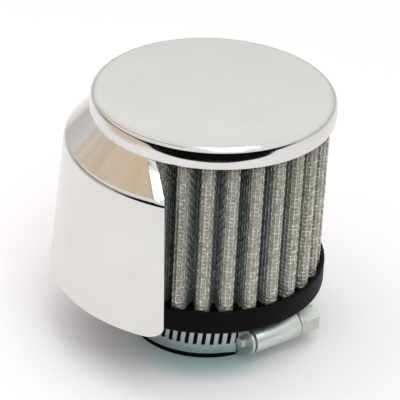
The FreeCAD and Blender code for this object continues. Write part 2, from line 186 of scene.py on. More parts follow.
base_outline = rounded(
    [(BORE_RADIUS, 0), (NECK_RADIUS, 0), (NECK_RADIUS, UNDERSIDE), (BASE_RADIUS, UNDERSIDE),
     (BASE_RADIUS, RIM_TOP), (RIM_INSIDE, RIM_TOP), (RIM_INSIDE, SEAT), (THROAT_RADIUS, SEAT),
     (BORE_RADIUS, BORE_LENGTH)],
    [0.3, 0.3, 1.5, 1.0, 0.55, 0.4, 0, 1.5, 3.0])
add_piece("rubber_base_moulding", *spin(base_outline), rubber, "breather", "moulded_rubber", "rubber_base")

# Pleated element: cotton gauze between two woven wire screens, folded together into round-crested pleats.
# The feet stand in the base and the heads in the cap's potting. The outer screen shows each of its wires.
PLEATS = 29
PLEAT_TURN = math.radians(2.0)
CREST_RADIUS = 36.3
PLEAT_DEPTH = 9.0
PLEAT_BEND = 2.2
SCREEN = 0.5
GAUZE = 0.8
LAYER_GAP = 0.05
PACK = 2 * SCREEN + GAUZE + 2 * LAYER_GAP
# The painted fold shade reaches this far down from the crests.
FOLD_SHADE_DEPTH = 0.5 * PLEAT_DEPTH
ELEMENT_LOW, ELEMENT_HIGH = SEAT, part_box("outer_screen")[1][2] / MM


def fold_line(inset, steps=16):
    """Points and outward normals round the folded sheet at a depth into the pack, and the running length at
    each point. Half a pleat is a crest arc, the straight flank that touches the crest and valley arcs, and a
    valley arc. Mirrored and turned, it makes the ring."""
    crest_bend = PLEAT_BEND - inset
    valley_bend = PLEAT_BEND - PACK + inset
    half_pitch = math.pi / PLEATS
    crest_centre = CREST_RADIUS - PLEAT_BEND
    valley_centre = CREST_RADIUS - PLEAT_DEPTH + PLEAT_BEND
    across = valley_centre * math.sin(half_pitch)
    down = crest_centre - valley_centre * math.cos(half_pitch)
    slope = math.atan2(across, down) - math.asin((crest_bend + valley_bend) / math.hypot(across, down))
    sweep = np.linspace(0, math.pi / 2 - slope, steps)
    normal = np.stack([np.sin(sweep), np.cos(sweep)], axis=-1)
    crest = crest_bend * normal + [0, crest_centre]
    valley_at = valley_centre * np.array([math.sin(half_pitch), math.cos(half_pitch)])
    mirror = np.array([[-math.cos(2 * half_pitch), math.sin(2 * half_pitch)],
                       [math.sin(2 * half_pitch), math.cos(2 * half_pitch)]])
    back_sweep = np.linspace(math.pi / 2 - slope, half_pitch, steps)
    valley_normal = np.stack([np.sin(back_sweep), np.cos(back_sweep)], axis=-1)
    valley = valley_at - valley_bend * valley_normal
    half = np.concatenate([crest, valley])
    half_normal = np.concatenate([normal, valley_normal])
    other = (half @ mirror.T)[::-1][1:-1]
    other_normal = (half_normal @ mirror.T)[::-1][1:-1]
    pleat = np.concatenate([half, other])
    pleat_normal = np.concatenate([half_normal, other_normal])
    angle = math.pi / 2 - PLEAT_TURN + np.arange(PLEATS) * 2 * half_pitch
    turn = np.stack([np.stack([np.cos(angle), np.sin(angle)], -1),
                     np.stack([-np.sin(angle), np.cos(angle)], -1)], axis=-2)
    line = np.einsum("pij,nj->pni", turn, pleat).reshape(-1, 2)
    outward = np.einsum("pij,nj->pni", turn, pleat_normal).reshape(-1, 2)
    gap = np.linalg.norm(np.roll(line, -1, 0) - line, axis=1)
    return line, outward, np.concatenate([[0], np.cumsum(gap)])


def along(length, line, outward, run):
    """Points and unit normals at running lengths round the folded sheet."""
    closed, closed_normal = np.vstack([line, line[:1]]), np.vstack([outward, outward[:1]])
    at = np.stack([np.interp(length, run, closed[:, k]) for k in (0, 1)], axis=-1)
    facing = np.stack([np.interp(length, run, closed_normal[:, k]) for k in (0, 1)], axis=-1)
    return at, facing / np.linalg.norm(facing, axis=-1, keepdims=True)


def out_of_fold(tree, place):
    """How far a point lies out of the folds, which sets the painted shade in them: 0 deep in a valley, 1 near
    a crest.
    """
    flat = node(tree, "ShaderNodeVectorMath", {0: place, 1: (1, 1, 0)}, operation="MULTIPLY")
    reach = node(tree, "ShaderNodeVectorMath", {0: flat.outputs["Vector"]}, operation="LENGTH")
    shallow, deep = CREST_RADIUS * MM, (CREST_RADIUS - FOLD_SHADE_DEPTH) * MM
    return node(tree, "ShaderNodeMapRange",
                {"Value": reach.outputs["Value"], "From Min": deep, "From Max": shallow},
                interpolation_type="SMOOTHSTEP").outputs["Result"]


# Oiled cotton gauze: soft and matt, pale on the crests, with painted shade that darkens it deep in the folds.
# Its thread only shows as a mottle between the wires.
gauze, tree, shader, place = finish_of("oiled_cotton_gauze", IOR=1.45, Roughness=0.85)
MOTTLE_MM = 1.6
mottle = node(tree, "ShaderNodeTexNoise", {"Vector": place, "Scale": 1 / (MOTTLE_MM * MM), "Detail": 4.0})
crest_gauze = ramp(tree, mottle.outputs["Fac"], colour("#a3a296"), colour("#c4c1b4"))
fold_shaded_gauze = ramp(tree, mottle.outputs["Fac"], colour("#687070"), colour("#8c9390"))
# Painted shade: the gauze darkens from the crests down into the valleys.
cloth = node(tree, "ShaderNodeMix", {"Factor": out_of_fold(tree, place), "A": fold_shaded_gauze, "B": crest_gauze},
             data_type="RGBA")
tree.links.new(cloth.outputs["Result"], shader.inputs["Base Color"])
bump = node(tree, "ShaderNodeBump", {"Height": mottle.outputs["Fac"], "Strength": 0.5, "Distance": 0.15 * MM})
tree.links.new(bump.outputs["Normal"], shader.inputs["Normal"])


def folded_sheet(inset, thickness):
    """A closed wall that follows the folds: up its outer face, over, and down its inner face."""
    outer, inner = fold_line(inset)[0], fold_line(inset + thickness)[0]
    levels = ((outer, ELEMENT_LOW), (outer, ELEMENT_HIGH), (inner, ELEMENT_HIGH), (inner, ELEMENT_LOW))
    points = np.stack([np.column_stack([line, np.full(len(line), level)]) for line, level in levels])
    return points.reshape(-1, 3), grid_quads(4, len(outer), True, True)


add_piece("folded_gauze", *folded_sheet(SCREEN + LAYER_GAP, GAUZE), gauze, "breather", "oiled_gauze",
          "gauze_media", sharp=30)

# Drawn and galvanised wire: bright on the crests, with painted glints from bend to bend, and painted shade
# deep in the folds.
wire, tree, shader, place = finish_of("woven_galvanised_wire", Metallic=0.7)
DULL_MM = 5
GLINT_MM = 1.7
dull = node(tree, "ShaderNodeTexNoise", {"Vector": place, "Scale": 1 / (DULL_MM * MM), "Detail": 4.0})
speck = node(tree, "ShaderNodeTexNoise", {"Vector": place, "Scale": 1 / (GLINT_MM * MM), "Detail": 2.0})
# Painted glints: bright specks painted into the wire's colour by the speck noise.
glint = node(tree, "ShaderNodeMapRange",
             {"Value": speck.outputs["Fac"], "From Min": 0.35, "From Max": 0.65}).outputs["Result"]
bright = ramp(tree, glint, colour("#b4afa0"), colour("#f2eddf"))
fold_shaded_wire = ramp(tree, glint, colour("#8c938d"), colour("#bcc2bc"))
# Painted shade: the wire darkens from the crests down into the valleys.
plated = node(tree, "ShaderNodeMix", {"Factor": out_of_fold(tree, place), "A": fold_shaded_wire, "B": bright},
              data_type="RGBA")
tree.links.new(plated.outputs["Result"], shader.inputs["Base Color"])
tree.links.new(ramp(tree, dull.outputs["Fac"], 0.25, 0.45), shader.inputs["Roughness"])

WIRE_PITCH = 1.32
WIRE_RADIUS = 0.24
WIRE_CRIMP = 0.6 * WIRE_RADIUS
line, outward, run = fold_line(WIRE_RADIUS + WIRE_CRIMP)
uprights = 2 * round(run[-1] / WIRE_PITCH / 2)
rows = round((ELEMENT_HIGH - ELEMENT_LOW) / WIRE_PITCH)


def wire_tubes(centre, side, lift, sides, closed):
    """Thin tubes along many centre lines at once: at each point, a small polygon in the plane of two
    directions."""
    angle = np.linspace(0, 2 * math.pi, sides, endpoint=False)
    ring = (np.cos(angle)[:, None] * side[..., None, :] + np.sin(angle)[:, None] * lift[..., None, :])
    points = centre[..., None, :] + WIRE_RADIUS * ring
    wires, steps = centre.shape[:2]
    one = grid_quads(steps, sides, closed, True)
    faces = one[None] + np.arange(wires)[:, None, None] * steps * sides
    return points.reshape(-1, 3), faces.reshape(-1, 4)


# Cross wires: round the folds at each row, over one upright and under the next.
step = np.arange(2 * uprights)
row = np.arange(rows)
cross_at, cross_out = along(step * run[-1] / (2 * uprights), line, outward, run)
cross_weave = WIRE_CRIMP * np.cos(math.pi * (step[None, :] / 2 + row[:, None]))
row_height = ELEMENT_LOW + (row + 0.5) * (ELEMENT_HIGH - ELEMENT_LOW) / rows
cross_line = np.concatenate([cross_at[None] + cross_weave[..., None] * cross_out[None],
                             np.broadcast_to(row_height[:, None, None], (rows, len(step), 1))], axis=-1)
cross_side = np.broadcast_to(np.append(cross_out, np.zeros((len(step), 1)), 1), cross_line.shape)
cross_lift = np.broadcast_to(np.array([0.0, 0.0, 1.0]), cross_line.shape)
add_piece("screen_cross_wires", *wire_tubes(cross_line, cross_side, cross_lift, 3, True), wire, "breather",
          "outer_wire_screen", "outer_screen", sharp=180)

# Upright wires: straight up each pitch of the folded sheet, under where the cross wires go over.
upright = np.arange(uprights)
level = np.arange(-1, rows + 1)
upright_at, upright_out = along(upright * run[-1] / uprights, line, outward, run)
upright_weave = -WIRE_CRIMP * np.cos(math.pi * (upright[:, None] + level[None, :]))
level_height = np.clip(ELEMENT_LOW + (level + 0.5) * (ELEMENT_HIGH - ELEMENT_LOW) / rows,
                       ELEMENT_LOW, ELEMENT_HIGH)
upright_line = np.concatenate([upright_at[:, None] + upright_weave[..., None] * upright_out[:, None],
                               np.broadcast_to(level_height[None, :, None], (uprights, len(level), 1))],
                              axis=-1)
upright_side = np.append(upright_out, np.zeros((uprights, 1)), 1)
upright_side = np.broadcast_to(upright_side[:, None], upright_line.shape)
upright_lift = np.cross(np.array([0.0, 0.0, 1.0]), upright_side)
add_piece("screen_upright_wires", *wire_tubes(upright_line, upright_side, upright_lift, 4, False), wire,
          "breather", "outer_wire_screen", sharp=180)

# Cap potting and inner screen: black cast resin under the cap, and the wire screen on the inside of the
# folds. Both are seen only up through the neck, so the solids stay and take the finishes.

# Cast polyurethane: black, with a faint cloudiness from the cure.
resin, tree, shader, place = finish_of("cast_polyurethane", IOR=1.5)
CURE_MM = 9
cure = node(tree, "ShaderNodeTexNoise", {"Vector": place, "Scale": 1 / (CURE_MM * MM), "Detail": 3.0})
cast_black = ramp(tree, cure.outputs["Fac"], colour("#121212"), colour("#222120"))
tree.links.new(cast_black, shader.inputs["Base Color"])
tree.links.new(ramp(tree, cure.outputs["Fac"], 0.3, 0.5), shader.inputs["Roughness"])
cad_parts["cap_potting"].data.materials[0] = resin

# Woven wire inside: light and dark bars, one to each row of the weave.
inner_wire, tree, shader, place = finish_of("woven_wire_inside", Metallic=0.6, Roughness=0.5)
bars = node(tree, "ShaderNodeTexWave", {"Vector": place, "Scale": math.pi / (10 * WIRE_PITCH * MM)},
            bands_direction="Z", wave_profile="SIN")
barred = ramp(tree, bars.outputs["Fac"], colour("#4a4a4a"), colour("#b2b0ab"))
tree.links.new(barred, shader.inputs["Base Color"])
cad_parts["inner_screen"].data.materials[0] = inner_wire

# Top cap: stamped steel cup, chrome plated, with a round edge and a skirt that draws in to a rolled hem.
# It is potted on to the heads of the pleats.
CAP_RADIUS = 38.1
CAP_TOP = 83.1
CAP_SHEET = 0.6
CAP_EDGE = 2.6
SKIRT_BOTTOM = 76.3
SKIRT_DRAFT = 0.6
HEM_TOP = 77.9
HEM_TUCK = 0.3

# Bright chrome plate: clear reflections, with a faint ripple from the press and wiped smudges.
chrome, tree, shader, place = finish_of("bright_chrome_plate", Metallic=1.0)
SMUDGE_MM = 12
RIPPLE_MM = 7
smudge = node(tree, "ShaderNodeTexNoise", {"Vector": place, "Scale": 1 / (SMUDGE_MM * MM), "Detail": 6.0})
ripple = node(tree, "ShaderNodeTexNoise", {"Vector": place, "Scale": 1 / (RIPPLE_MM * MM), "Detail": 1.0})
plating = ramp(tree, smudge.outputs["Fac"], colour("#e6e6e4"), colour("#dcdcda"))
tree.links.new(plating, shader.inputs["Base Color"])
tree.links.new(ramp(tree, smudge.outputs["Fac"], 0.04, 0.13), shader.inputs["Roughness"])
bump = node(tree, "ShaderNodeBump", {"Height": ripple.outputs["Fac"], "Strength": 0.06, "Distance": 0.4 * MM})
tree.links.new(bump.outputs["Normal"], shader.inputs["Normal"])

cap_outline = rounded(
    [(0, CAP_TOP), (CAP_RADIUS - SKIRT_DRAFT, CAP_TOP), (CAP_RADIUS, HEM_TOP),
     (CAP_RADIUS - HEM_TUCK, SKIRT_BOTTOM), (CAP_RADIUS - CAP_SHEET, SKIRT_BOTTOM),
     (CAP_RADIUS - CAP_SHEET, HEM_TOP),
     (CAP_RADIUS - CAP_SHEET - SKIRT_DRAFT, CAP_TOP - CAP_SHEET), (0, CAP_TOP - CAP_SHEET)],
    [0, CAP_EDGE, 12, 0.12, 0.12, 0, CAP_EDGE - CAP_SHEET, 0], 14)
add_piece("top_cap_stamping", *spin(cap_outline, 256), chrome, "breather", "cap_chrome", "top_cap")

# Shield: chrome plated sheet with a sloping shoulder and a flared wall, trimmed straight on both sides with
# round lower corners. Its lip is tucked up inside the cap's skirt and potted there.
SHIELD_SHEET = 0.7
SHIELD_TRIM = 26.4
SHIELD_CORNER = 4.0
LIP_GAP = 0.08
LIP_RADIUS = CAP_RADIUS - CAP_SHEET - LIP_GAP
LIP_TOP = 77.5
LIP_BOTTOM = 75.5
CREASE = (45.6, 66.8)
FOOT = (49.1, 22.3)
CREASE_BEND = 3.1
meridian = rounded([(LIP_RADIUS, LIP_TOP), (LIP_RADIUS, LIP_BOTTOM + SHIELD_SHEET / 2), CREASE, FOOT],
                   [0, 0.4, CREASE_BEND, 0], 10)
run_down = np.concatenate([[0], np.cumsum(np.linalg.norm(np.diff(meridian, axis=0), axis=1))])
near_foot = run_down[-1] - SHIELD_CORNER * (1 - np.cos(np.linspace(0, math.pi / 2, 12)))
stations = np.unique(np.concatenate([run_down, np.linspace(0, run_down[-1], 60), near_foot]))
radius = np.interp(stations, run_down, meridian[:, 0])
height = np.interp(stations, run_down, meridian[:, 1])
above_foot = np.clip(height - FOOT[1], 0, SHIELD_CORNER)
half_width = np.sqrt(radius ** 2 - SHIELD_TRIM ** 2)
half_width -= SHIELD_CORNER - np.sqrt(SHIELD_CORNER ** 2 - (SHIELD_CORNER - above_foot) ** 2)
spread = np.arcsin(half_width / radius)
share = np.sin(np.linspace(-1, 1, 121) * math.pi / 2)
angle = math.pi + share[None, :] * spread[:, None]
outer_face = np.stack([radius[:, None] * np.cos(angle), radius[:, None] * np.sin(angle),
                       height[:, None] + 0 * angle], axis=-1)

# The shoulder's ends are rolled in: a drop square to the shoulder that grows over the last few millimetres.
ROLL_WIDTH, ROLL_DROP, ROLL_ROUND = 3.2, 1.2, 0.06
CREASE_MARGIN, CREASE_FADE, LIP_FADE = 0.2, 1.4, 2.0
from_end = np.clip((1 - np.abs(share[None, :])) * (spread * radius)[:, None], 0, ROLL_WIDTH)
off_crease = np.clip((height - CREASE[1] + CREASE_MARGIN) / CREASE_FADE, 0, 1)
on_shoulder = off_crease * np.clip((radius - LIP_RADIUS) / LIP_FADE, 0, 1)
rolled_in = np.hypot(1 - from_end / ROLL_WIDTH, ROLL_ROUND) - ROLL_ROUND
drop = ROLL_DROP * rolled_in * on_shoulder[:, None]
fall = np.array([CREASE[1] - LIP_BOTTOM, CREASE[0] - LIP_RADIUS])
fall /= np.linalg.norm(fall)
outer_face += drop[..., None] * np.stack([fall[0] * np.cos(angle), fall[0] * np.sin(angle),
                                          -fall[1] + 0 * angle], axis=-1)
shield = add_piece("shield_stamping", outer_face.reshape(-1, 3), grid_quads(len(stations), len(share)),
                   chrome, "breather", "shield_chrome", "shield")
wall = shield.modifiers.new("sheet", "SOLIDIFY")
wall.thickness = SHIELD_SHEET * MM
wall.offset = -1
wall.use_even_offset = True
edge = shield.modifiers.new("dressed_edge", "BEVEL")
edge.width = 0.22 * MM
edge.segments = 3
edge.limit_method = "ANGLE"
edge.angle_limit = math.radians(50)

# Clamp band: bright stainless strip with leaning slots, once round the neck, up over its own inner end and
# straight out through the housing. It is rolled strip, so it carries fine lines along its length.
CLAMP_TURN = math.radians(18)
BAND_WIDTH = 12.7
BAND_LOW = 2.2
BAND_SHEET = 0.6
BAND_GAP = 0.05
BAND_INSIDE = NECK_RADIUS + BAND_GAP
LAP_INSIDE = BAND_INSIDE + BAND_SHEET + BAND_GAP
LAP_START = math.radians(20)
LAP_RAMP = math.radians(9)
INNER_END = math.radians(4)
BAND_TAIL = 14.6
SLOT_PITCH = 2.65
SLOT_WIDTH = 1.25
SLOT_LENGTH = 6.3
SLOT_LEAN = math.radians(6)
UNSLOTTED = 60
STRIP_EDGE = 0.12
BAND_MIDDLE = BAND_LOW + BAND_WIDTH / 2

# Rolled stainless strip: fine bright and dull lines along its length.
stainless, tree, shader, place = finish_of("rolled_stainless_strip", Metallic=1.0)
LINE_MM = 0.25
RUNS_PER_M = 60
lines = node(tree, "ShaderNodeMapping",
             {"Vector": place, "Scale": (RUNS_PER_M, RUNS_PER_M, 1 / (LINE_MM * MM))})
rolled = node(tree, "ShaderNodeTexNoise", {"Vector": lines.outputs["Vector"], "Scale": 1.0, "Detail": 3.0})
# The steel's cool blue-green cast is painted light: the cool front light painted into its colour.
strip_steel = ramp(tree, rolled.outputs["Fac"], colour("#c6d6d8"), colour("#e2ebec"))
tree.links.new(strip_steel, shader.inputs["Base Color"])
tree.links.new(ramp(tree, rolled.outputs["Fac"], 0.28, 0.42), shader.inputs["Roughness"])


def clamp_place(points):
    """Points of the clamp's own frame, screw along +X and housing towards -Y, turned to its place on the
    neck."""
    cosine, sine = math.cos(CLAMP_TURN), math.sin(CLAMP_TURN)
    points = np.asarray(points, float)
    return np.stack([cosine * points[..., 0] - sine * points[..., 1],
                     sine * points[..., 0] + cosine * points[..., 1], points[..., 2]], axis=-1)


# The strip's run: inner lap from its end, ramp, outer lap to the housing, straight tail.
lap_begin = -LAP_START + LAP_RAMP + INNER_END
inner_turn = 2 * math.pi - LAP_START - lap_begin
outer_radius = BAND_INSIDE + BAND_SHEET
corner_runs = np.cumsum([0, inner_turn * outer_radius, LAP_RAMP * outer_radius,
                         (LAP_START - LAP_RAMP) * (LAP_INSIDE + BAND_SHEET), BAND_TAIL])
slots = np.arange(1, int((corner_runs[-1] - UNSLOTTED) / SLOT_PITCH))
slot_places = corner_runs[-1] - slots * SLOT_PITCH
edges = np.concatenate([slot_places - SLOT_WIDTH / 2, slot_places + SLOT_WIDTH / 2])
plain = np.linspace(0, slot_places.min() - SLOT_WIDTH, 60)
run_places = np.unique(np.concatenate([plain, edges, [corner_runs[-1]]]))


def strip_plan(run_at, depth):
    """Plan of the strip's face at running lengths: angle and radius on the laps, a straight line on the tail.
    The ramp rises from the inner lap to the outer one."""
    turns = [lap_begin, lap_begin + inner_turn, -LAP_START + LAP_RAMP + 2 * math.pi, 2 * math.pi]
    laps = [BAND_INSIDE, BAND_INSIDE, LAP_INSIDE, LAP_INSIDE]
    turn = np.interp(run_at, corner_runs[:4], turns)
    lap = np.interp(run_at, corner_runs[:4], laps) + depth
    past = np.clip(run_at - corner_runs[3], 0, None)
    return lap * np.sin(turn) + past, -lap * np.cos(turn)


across = np.concatenate([[0, STRIP_EDGE], (BAND_WIDTH + SLOT_LENGTH * np.linspace(-1, 1, 5)) / 2,
                         [BAND_WIDTH - STRIP_EDGE, BAND_WIDTH]])
slant = np.clip(across - BAND_WIDTH / 2, -SLOT_LENGTH / 2, SLOT_LENGTH / 2) * math.tan(SLOT_LEAN)
in_slots = (run_places >= slot_places.min() - SLOT_WIDTH) & (run_places < corner_runs[-1])
run_grid = run_places[:, None] + np.where(in_slots, 1.0, 0.0)[:, None] * slant[None, :]
strip_faces = []
for depth in (BAND_SHEET, 0.0):
    x, y = strip_plan(run_grid, depth)
    strip_faces.append(np.stack([x, y, BAND_LOW + across[None, :] + 0 * x], axis=-1))

# Faces inside the slots are left out, and each free edge gets a wall through the sheet.
columns = len(across)
quads = grid_quads(len(run_places), columns)
middle_run = (run_places[:-1] + run_places[1:]) / 2
hole_rows = np.abs(middle_run[:, None] - slot_places[None, :]).min(axis=1) < SLOT_WIDTH / 2
middle_across = (across[:-1] + across[1:]) / 2
hole_columns = np.abs(middle_across - BAND_WIDTH / 2) < SLOT_LENGTH / 2
solid = ~(hole_rows[:, None] & hole_columns[None, :]).ravel()
outer_quads = quads[solid]
count = len(run_places) * columns
pairs = np.concatenate([outer_quads[:, [k, (k + 1) % 4]] for k in range(4)])
keys = np.sort(pairs, axis=1)
_, first, repeats = np.unique(keys[:, 0] * count + keys[:, 1], return_index=True, return_counts=True)
border = pairs[first[repeats == 1]]
walls = np.column_stack([border[:, 0], border[:, 1], border[:, 1] + count, border[:, 0] + count])
all_quads = np.concatenate([outer_quads, outer_quads[:, ::-1] + count, walls])
strip_points = np.concatenate([face.reshape(-1, 3) for face in strip_faces])
add_piece("clamp_strip", clamp_place(strip_points), all_quads, stainless, "breather", "clamp_strip_steel",
          "clamp_band", sharp=35)

# Clamp housing: stamped stainless bridge over the strip, with a round barrel for the worm, feet that straddle
# the strip and an end wall at each end that carries the screw's journals.
HOUSING_START = -4.2
HOUSING_LENGTH = 19.0
END_SLIT = 0.9
HOUSING_SHEET = 0.8
LAP_OUTSIDE = LAP_INSIDE + BAND_SHEET
SCREW_LIFT = 3.8
SCREW_DISTANCE = LAP_OUTSIDE + SCREW_LIFT
BARREL = 4.6
BARREL_LEAN = math.radians(20)
FOOT_GAP = 0.2
FOOT_LEVEL = NECK_RADIUS + FOOT_GAP
FOOT_HALF = BAND_WIDTH / 2 + FOOT_GAP + HOUSING_SHEET
SHOULDER = LAP_OUTSIDE + HOUSING_SHEET
SHOULDER_RISE, SHOULDER_DRAW, SHOULDER_BEND = 0.4, 0.6, 0.5
PASSAGE_TOP = LAP_OUTSIDE + FOOT_GAP
HOLE = 2.38
HOLE_RECESS, RECESS_DEPTH = 0.7, 0.5
PLATE_INSET, PLATE_CLEAR = 0.1, 0.05
RAIL_LAP = 0.3

# Pressed stainless: a soft orange-peel sheen where the die has worked the sheet.
pressed, tree, shader, place = finish_of("pressed_stainless", Metallic=1.0)
PRESS_MM = 1.2
press = node(tree, "ShaderNodeTexNoise", {"Vector": place, "Scale": 1 / (PRESS_MM * MM), "Detail": 4.0})
bridge_steel = ramp(tree, press.outputs["Fac"], colour("#d4dcd8"), colour("#eaefec"))
tree.links.new(bridge_steel, shader.inputs["Base Color"])
tree.links.new(ramp(tree, press.outputs["Fac"], 0.32, 0.48), shader.inputs["Roughness"])
bump = node(tree, "ShaderNodeBump", {"Height": press.outputs["Fac"], "Strength": 0.1, "Distance": 0.1 * MM})
tree.links.new(bump.outputs["Normal"], shader.inputs["Normal"])


def bridge_line(inset, steps=40):
    """Half-open section of the bridge, from one foot over the barrel to the other, drawn in by an inset: the
    foot rises straight, a shoulder slopes in to the barrel, and the barrel is a round arc above it."""
    barrel, foot = BARREL - inset, FOOT_HALF - inset
    shoulder = SHOULDER + SHOULDER_RISE - inset * SHOULDER_DRAW
    sweep = np.linspace(-math.pi / 2 - BARREL_LEAN, math.pi / 2 + BARREL_LEAN, steps)
    arc = np.column_stack([SCREW_DISTANCE + barrel * np.cos(sweep), barrel * np.sin(sweep)])
    low = np.array([[FOOT_LEVEL, -foot], [shoulder - SHOULDER_BEND, -foot],
                    [shoulder + 0.1, -foot + SHOULDER_BEND]])
    high = low[::-1] * [1, -1]
    return np.concatenate([low, arc, high])


def bridge_run(low, high, tuck=0.22):
    """The bridge's sheet from one length to another, its outer face drawn in at both ends for a broken
    edge."""
    inside = bridge_line(HOUSING_SHEET)[::-1]
    stations = ((low, tuck), (low + tuck, 0.0), (high - tuck, 0.0), (high, tuck))
    rows = []
    for length, drawn in stations:
        section = np.concatenate([bridge_line(drawn), inside])
        rows.append(np.column_stack([np.full(len(section), length), -section[:, 0],
                                     BAND_MIDDLE + section[:, 1]]))
    around = len(rows[0])
    step = np.arange(around // 2 - 1)
    end = np.column_stack([step, step + 1, around - 2 - step, around - 1 - step])
    return np.concatenate(rows), np.concatenate([grid_quads(4, around, False, True), end, end + 3 * around])


def end_plate(low, high, recess=0.0):
    """A wall across the bridge: from the journal hole out to the section's own edge, cut off above the strip.
    A recess widens the hole at the wall's outer face."""
    section = bridge_line(PLATE_INSET, 80)
    foot = np.column_stack([np.full(60, PASSAGE_TOP), np.linspace(-1, 1, 60) * (FOOT_HALF - PLATE_INSET)])
    section = np.vstack([section[section[:, 0] > PASSAGE_TOP], foot])
    section -= [SCREW_DISTANCE, 0]
    bearing = np.arctan2(section[:, 1], section[:, 0])
    order = np.argsort(bearing)
    around = np.linspace(-math.pi, math.pi, 120, endpoint=False)
    reach = np.interp(around, bearing[order], np.hypot(*section[order].T), period=2 * math.pi)
    rings = [np.column_stack([np.full(len(around), length), -(SCREW_DISTANCE + radius * np.cos(around)),
                              BAND_MIDDLE + radius * np.sin(around)])
             for length, radius in ((low, HOLE + recess + 0 * reach), (low, reach), (high, reach),
                                    (high, HOLE + 0 * reach), (low + RECESS_DEPTH, HOLE + 0 * reach),
                                    (low + RECESS_DEPTH, HOLE + recess + 0 * reach))]
    return np.concatenate(rings), grid_quads(6, len(around), True, True)


def brick(low, high):
    """A plain block between two corners."""
    corner = np.array([[x, y, z] for x in (0, 1) for y in (0, 1) for z in (0, 1)])
    return np.asarray(low) + corner * np.subtract(high, low), np.array(
        [[0, 1, 3, 2], [4, 6, 7, 5], [0, 4, 5, 1], [2, 3, 7, 6], [0, 2, 6, 4], [1, 5, 7, 3]])


def together(*meshes):
    """Several sets of points and faces as one."""
    starts = np.cumsum([0] + [len(points) for points, faces in meshes[:-1]])
    return (np.concatenate([points for points, faces in meshes]),
            np.concatenate([faces + start for start, (points, faces) in zip(starts, meshes)]))


housing_end = HOUSING_START + HOUSING_LENGTH
plate_end = HOUSING_START + HOUSING_SHEET
barrel_start = plate_end + END_SLIT
rails = [brick((plate_end - RAIL_LAP, -SHOULDER, BAND_MIDDLE + low),
               (barrel_start + RAIL_LAP, -FOOT_LEVEL, BAND_MIDDLE + high))
         for low, high in ((-FOOT_HALF, HOUSING_SHEET - FOOT_HALF), (FOOT_HALF - HOUSING_SHEET, FOOT_HALF))]
bridge_points, bridge_quads = together(
    bridge_run(HOUSING_START, plate_end),
    end_plate(HOUSING_START + PLATE_CLEAR, plate_end - PLATE_CLEAR, HOLE_RECESS), *rails,
    bridge_run(barrel_start, housing_end), end_plate(housing_end - HOUSING_SHEET, housing_end - PLATE_CLEAR))
add_piece("clamp_bridge", clamp_place(bridge_points), bridge_quads, pressed, "breather",
          "clamp_housing_steel", "clamp_housing", sharp=45)

# Clamp screw: zinc plated worm screw turned on two journals, with a collar and a slotted hexagon head.
# It is held by its worm between the end walls and turns to draw the strip through.
JOURNAL = 2.3
TIP, TIP_RADIUS = -6.5, 1.85
TIP_SHOULDER = HOUSING_START + 0.3
WORM_LOW, WORM_HIGH = -3.1, 13.7
WORM_RADIUS, WORM_ROOT, WORM_LEAD = 3.5, 2.5, 2.65
WORM_TAPER = 0.8
TOOTH_STEEPNESS, TOOTH_ROOT = 1.6, 0.3
COLLAR_AT = housing_end + 0.3
COLLAR_RADIUS, COLLAR_WIDTH = 4.5, 1.2
HEAD_FLATS = 7.9
HEAD_LENGTH = 6.4
HEAD_EDGE, HEAD_CROWN = 0.6, 0.86
DRIVER_WIDTH, DRIVER_DEPTH = 1.2, 1.8

# Bright zinc plate: pale and a little cloudy, with a satin sheen.
zinc, tree, shader, place = finish_of("bright_zinc_plate", Metallic=1.0)
PLATE_MM = 2.0
plate = node(tree, "ShaderNodeTexNoise", {"Vector": place, "Scale": 1 / (PLATE_MM * MM), "Detail": 5.0})
cloudy = ramp(tree, plate.outputs["Fac"], colour("#c6cbc3"), colour("#dee3db"))
tree.links.new(cloudy, shader.inputs["Base Color"])
tree.links.new(ramp(tree, plate.outputs["Fac"], 0.48, 0.62), shader.inputs["Roughness"])

# The turned part, from the tip through the worm to the collar, as radii at lengths along the screw.
sides = 72
around = np.linspace(0, 2 * math.pi, sides, endpoint=False)
worm_at = np.linspace(WORM_LOW, WORM_HIGH, 150)
phase = worm_at[:, None] / WORM_LEAD - around[None, :] / (2 * math.pi)
tooth = np.clip(TOOTH_STEEPNESS * np.abs(2 * (phase % 1) - 1) - TOOTH_ROOT, 0, 1)
taper = np.clip(np.minimum(worm_at - WORM_LOW, WORM_HIGH - worm_at) / WORM_TAPER, 0, 1)
worm_radius = WORM_ROOT + (WORM_RADIUS - WORM_ROOT) * tooth * taper[:, None]
turned = rounded([(TIP, 0), (TIP, TIP_RADIUS), (TIP_SHOULDER, TIP_RADIUS), (TIP_SHOULDER, JOURNAL),
                  (WORM_LOW - 0.01, JOURNAL)], [0, 0.6, 0, 0.05, 0], 8)
collar_end = COLLAR_AT + COLLAR_WIDTH
collar = rounded([(WORM_HIGH + 0.01, JOURNAL), (COLLAR_AT, JOURNAL), (COLLAR_AT, COLLAR_RADIUS),
                  (collar_end, COLLAR_RADIUS), (collar_end, 0)], [0, 0.2, 0.35, 0.35, 0], 5)
lathe_x = np.concatenate([turned[:, 0], worm_at, collar[:, 0]])
lathe_r = np.concatenate([np.repeat(turned[:, 1:], sides, 1), worm_radius,
                          np.repeat(collar[:, 1:], sides, 1)])
lathe = np.stack([lathe_x[:, None] + 0 * lathe_r, -SCREW_DISTANCE + lathe_r * np.cos(around),
                  BAND_MIDDLE + lathe_r * np.sin(around)], axis=-1)
add_piece("clamp_worm", clamp_place(lathe).reshape(-1, 3), grid_quads(len(lathe_x), sides, False, True),
          zinc, "screw", "clamp_screw_zinc", "clamp_screw", sharp=50)


